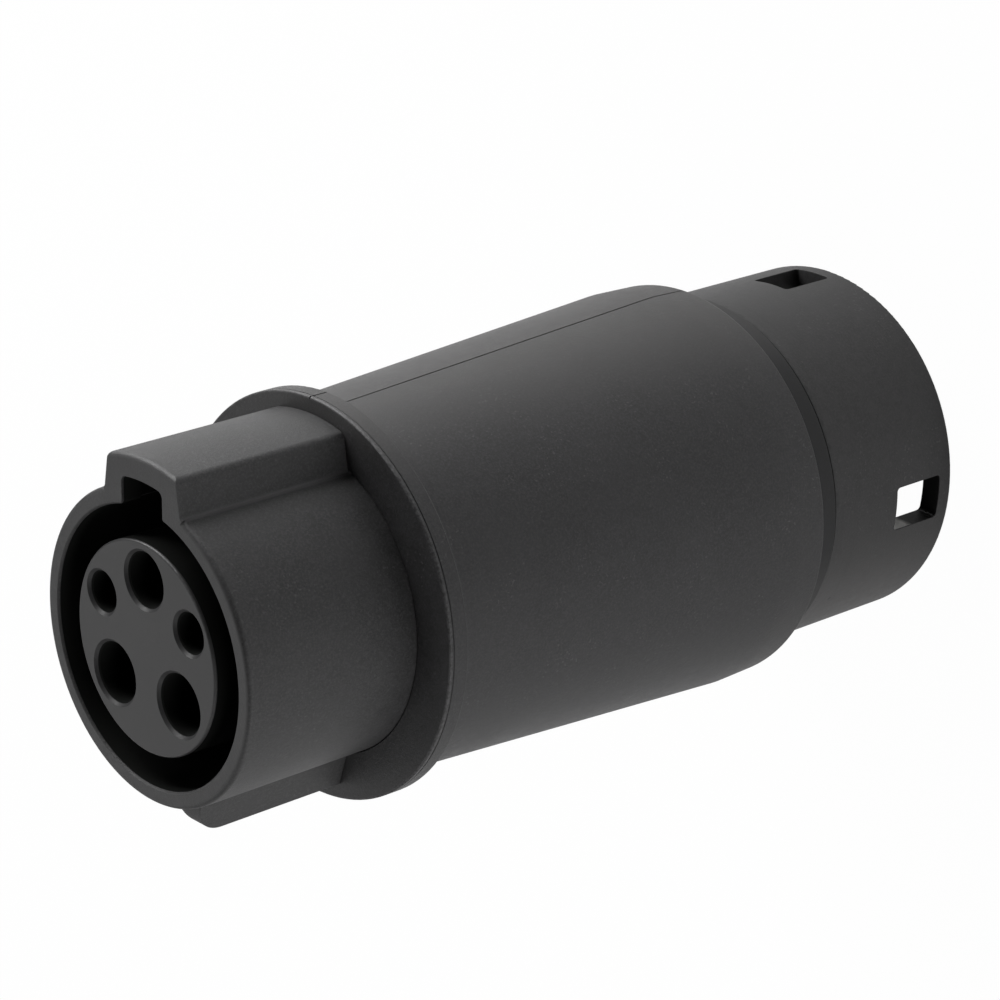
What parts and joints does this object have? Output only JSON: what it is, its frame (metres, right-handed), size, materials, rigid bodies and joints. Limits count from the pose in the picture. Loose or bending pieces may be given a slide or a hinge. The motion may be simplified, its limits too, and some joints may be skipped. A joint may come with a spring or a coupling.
{
  "type": "ev charging adapter",
  "caption": "Matte black charging adapter: round keyed plug with recessed sockets, flange, tapered body of two halves, windowed barrel inlet.",
  "frame": {"origin": "centre of the barrel's rim plane, on the floor the adapter stands on", "axes": "+Z along the axis from the barrel inlet to the plug face, +Y towards the hood and its notch, +X away from the seam plane on the fin's side"},
  "size_m": [0.0592, 0.0592, 0.128],
  "materials": {
    "shell_plastic": "fine matte texture",
    "nose_plastic": "fine matte texture",
    "barrel_plastic": "fine matte texture",
    "core_plastic": "smooth satin",
    "contact_metal": "silver plated",
    "seal_rubber": "dull",
    "plate_plastic": "plain",
    "wire_brown": "satin insulation",
    "wire_blue": "satin insulation",
    "wire_green": "satin insulation",
    "wire_white": "satin insulation",
    "resistor_coat": "lacquered"
  },
  "bodies": {
    "root": {"housing_left": "shell_plastic", "housing_right": "shell_plastic", "plug_nose": "nose_plastic", "plug_core": "core_plastic", "plug_contact_line": "contact_metal", "plug_contact_neutral": "contact_metal", "plug_contact_ground": "contact_metal", "plug_contact_pilot": "contact_metal", "plug_contact_proximity": "contact_metal", "plug_seal": "seal_rubber", "plug_retainer": "plate_plastic", "inlet_barrel": "barrel_plastic", "collar_seal": "seal_rubber", "inlet_core": "core_plastic", "inlet_contact_line": "contact_metal", "inlet_contact_neutral": "contact_metal", "inlet_contact_ground": "contact_metal", "inlet_contact_pilot": "contact_metal", "inlet_contact_proximity": "contact_metal", "inlet_seal": "seal_rubber", "inlet_retainer": "plate_plastic", "wire_line": "wire_brown", "wire_neutral": "wire_blue", "wire_ground": "wire_green", "wire_pilot": "wire_white", "wire_proximity": "wire_white", "proximity_resistor": "resistor_coat"}
  },
  "joints": []
}
